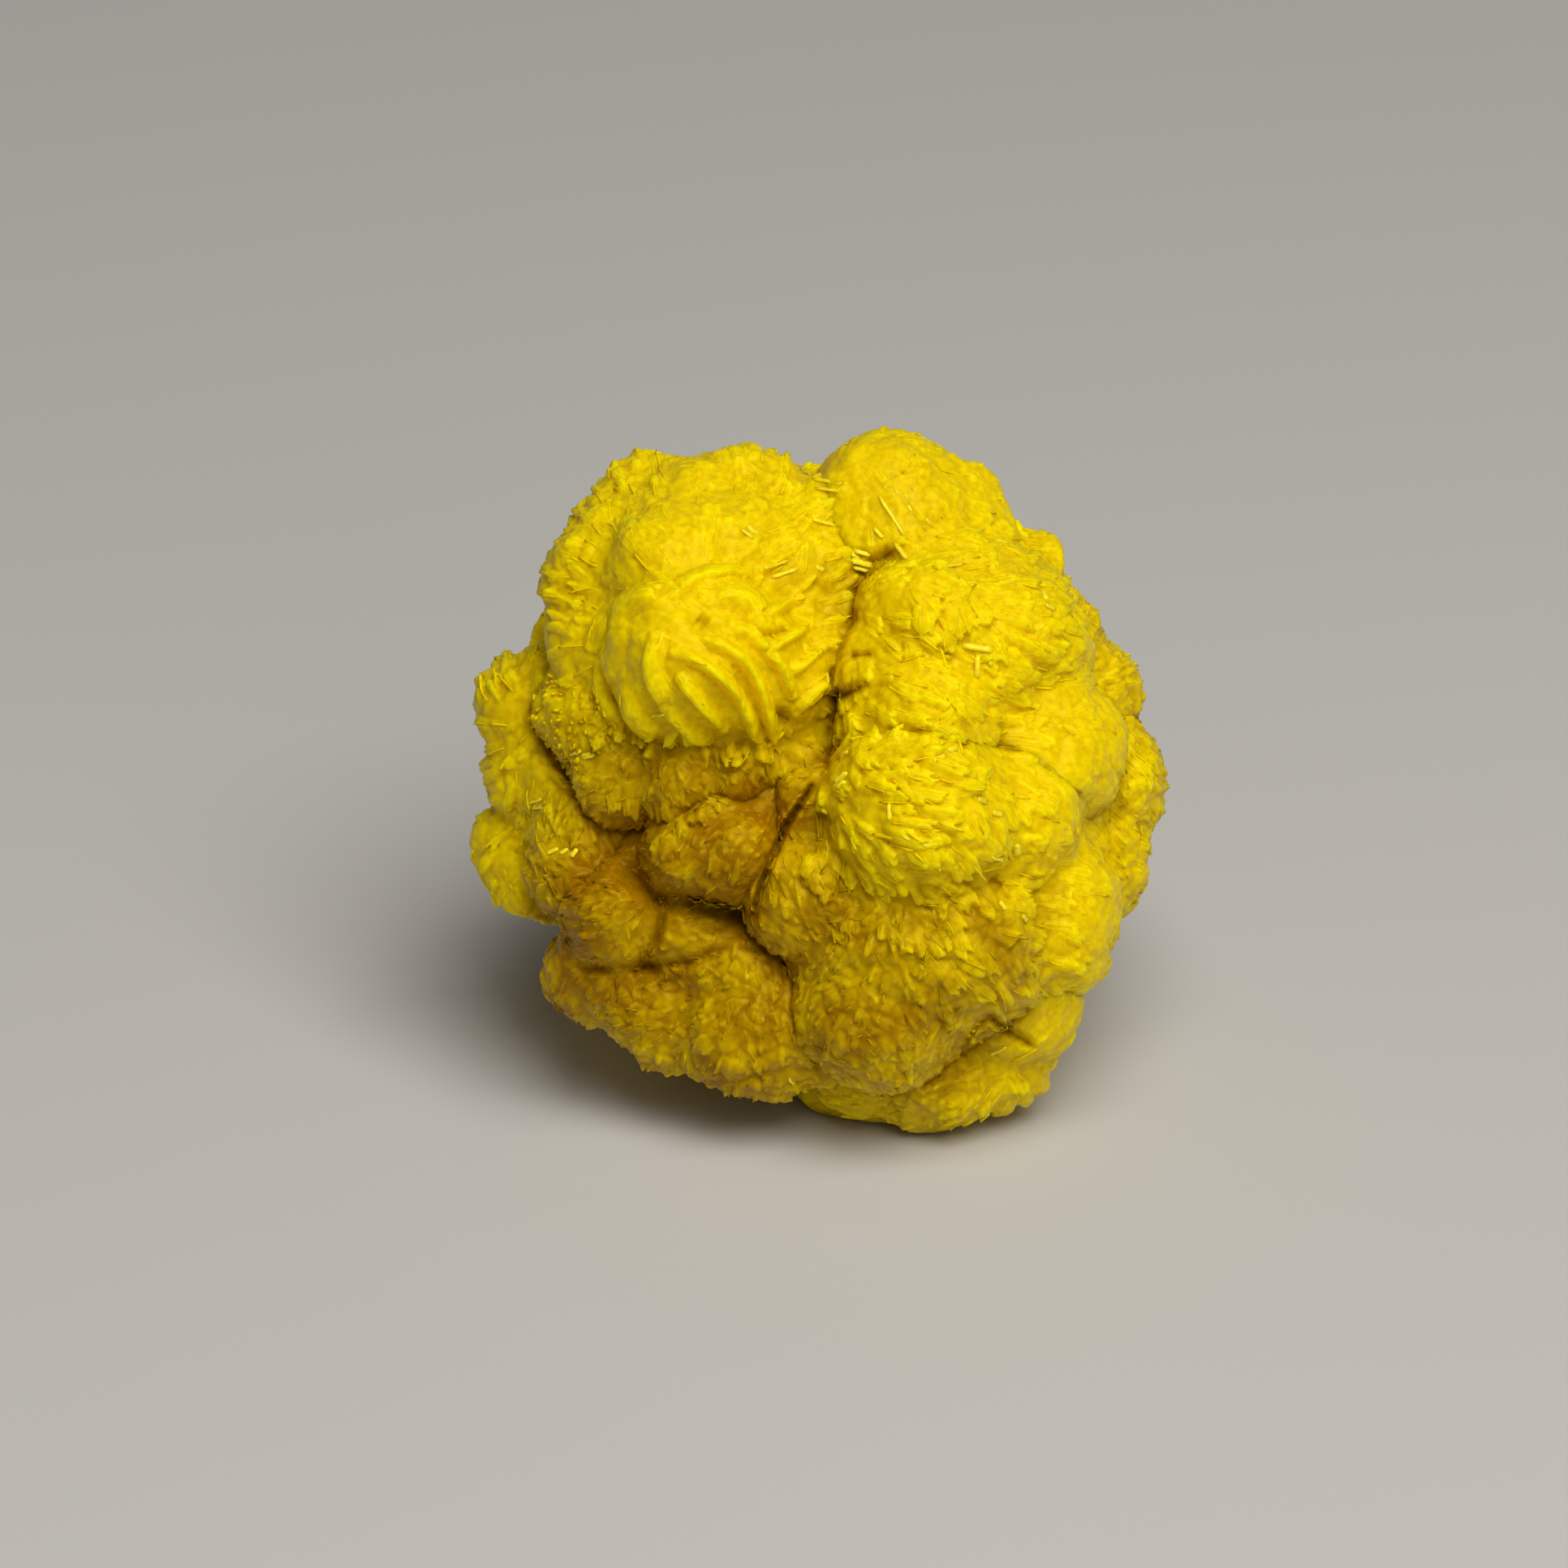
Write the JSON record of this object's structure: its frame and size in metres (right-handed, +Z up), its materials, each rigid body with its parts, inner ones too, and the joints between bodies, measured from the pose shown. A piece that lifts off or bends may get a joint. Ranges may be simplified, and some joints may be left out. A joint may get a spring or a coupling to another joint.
{
  "type": "vanuralite crystal cluster",
  "caption": "Rounded cluster of bladed yellow crystals grown together in rosettes, with a small flat cut underneath that it rests on.",
  "frame": {"origin": "on the flat cut underneath, below the middle of the cluster", "axes": "+Z up, -Y towards the front, +X to the right of someone facing the front; X is the longest extent"},
  "size_m": [0.0115, 0.0103, 0.0106],
  "materials": {
    "vanuralite": "waxy to satin canary yellow, translucent at thin edges"
  },
  "bodies": {
    "root": {"vanuralite_cluster": "vanuralite"}
  },
  "joints": []
}
